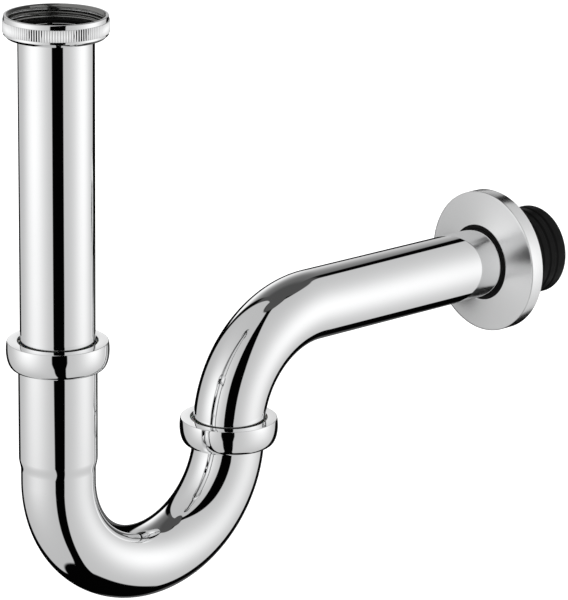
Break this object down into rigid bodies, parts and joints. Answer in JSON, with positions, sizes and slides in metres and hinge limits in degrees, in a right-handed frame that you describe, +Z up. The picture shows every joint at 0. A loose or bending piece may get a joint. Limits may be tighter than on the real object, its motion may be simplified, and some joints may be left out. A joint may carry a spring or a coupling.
{
  "type": "p trap",
  "caption": "Chromed tubular P-trap that drains a washbasin to the wall: knurled union nut, adjustable inlet tube, swivelling U-bend, outlet arm, wall plate and rubber sleeve.",
  "frame": {"origin": "centre of the inlet's sealing face, the top of the rubber washer inside the union nut, on the inlet axis", "axes": "+Z up the inlet axis, the way the basin's waste leaves the union nut; +Y along the outlet arm towards the wall; +X completes the right-handed set"},
  "size_m": [0.0666, 0.3109, 0.2673],
  "materials": {
    "chrome_tube": "polished chrome plate on thin brass tube",
    "chrome_nut": "polished chrome plate on turned brass",
    "chrome_plate": "polished chrome plate on pressed sheet",
    "white_nylon": "moulded nylon, satin",
    "black_rubber": "smooth black rubber, matt",
    "sleeve_rubber": "moulded black rubber, matt"
  },
  "bodies": {
    "sleeve": {"wall_sleeve": "sleeve_rubber"},
    "flange": {"wall_flange": "chrome_plate", "flange_grip_ring": "black_rubber"},
    "arm": {"outlet_arm": "chrome_tube", "arm_collar": "chrome_tube"},
    "trap": {"trap_bend": "chrome_tube", "bend_inlet_ferrule": "chrome_tube", "bend_outlet_ferrule": "chrome_tube", "upper_seal": "black_rubber", "lower_seal": "black_rubber"},
    "lower_ring": {"lower_friction_ring": "white_nylon"},
    "lower_nut": {"lower_slip_nut": "chrome_nut"},
    "inlet": {"inlet_tube": "chrome_tube", "inlet_collar": "chrome_tube", "inlet_gasket": "black_rubber"},
    "upper_ring": {"upper_friction_ring": "white_nylon"},
    "upper_nut": {"upper_slip_nut": "chrome_nut"},
    "inlet_nut": {"union_nut": "chrome_nut"}
  },
  "joints": [
    {"name": "flange_slide", "type": "slide", "parent": "sleeve", "child": "flange", "axis": [0, 1, 0], "range_m": [-0.08, 0]},
    {"name": "arm_depth", "type": "slide", "parent": "sleeve", "child": "arm", "axis": [0, 1, 0], "range_m": [-0.015, 0.02]},
    {"name": "trap_swivel", "type": "hinge", "parent": "arm", "child": "trap", "pos_m": [0, 0.096, -0.196], "axis": [0, 0, 1], "range_deg": [-120, 120]},
    {"name": "lower_nut_lift", "type": "slide", "parent": "trap", "child": "lower_ring", "axis": [0, 0, 1], "range_m": [0, 0.0015]},
    {"name": "lower_nut_turn", "type": "hinge", "parent": "lower_ring", "child": "lower_nut", "pos_m": [0, 0.096, -0.196], "axis": [0, 0, 1], "range_deg": [0, 360]},
    {"name": "inlet_height", "type": "slide", "parent": "trap", "child": "inlet", "axis": [0, 0, 1], "range_m": [-0.02, 0.02]},
    {"name": "upper_nut_lift", "type": "slide", "parent": "trap", "child": "upper_ring", "axis": [0, 0, 1], "range_m": [0, 0.0045]},
    {"name": "upper_nut_turn", "type": "hinge", "parent": "upper_ring", "child": "upper_nut", "pos_m": [0, 0, -0.14], "axis": [0, 0, 1], "range_deg": [0, 1080]},
    {"name": "union_nut_turn", "type": "hinge", "parent": "inlet", "child": "inlet_nut", "pos_m": [0, 0, 0], "axis": [0, 0, 1], "continuous": true}
  ],
  "couplings": [
    {"joint": "lower_nut_lift", "follows": "lower_nut_turn", "m_per_rad": 0.00023873},
    {"joint": "upper_nut_lift", "follows": "upper_nut_turn", "m_per_rad": 0.00023873}
  ]
}
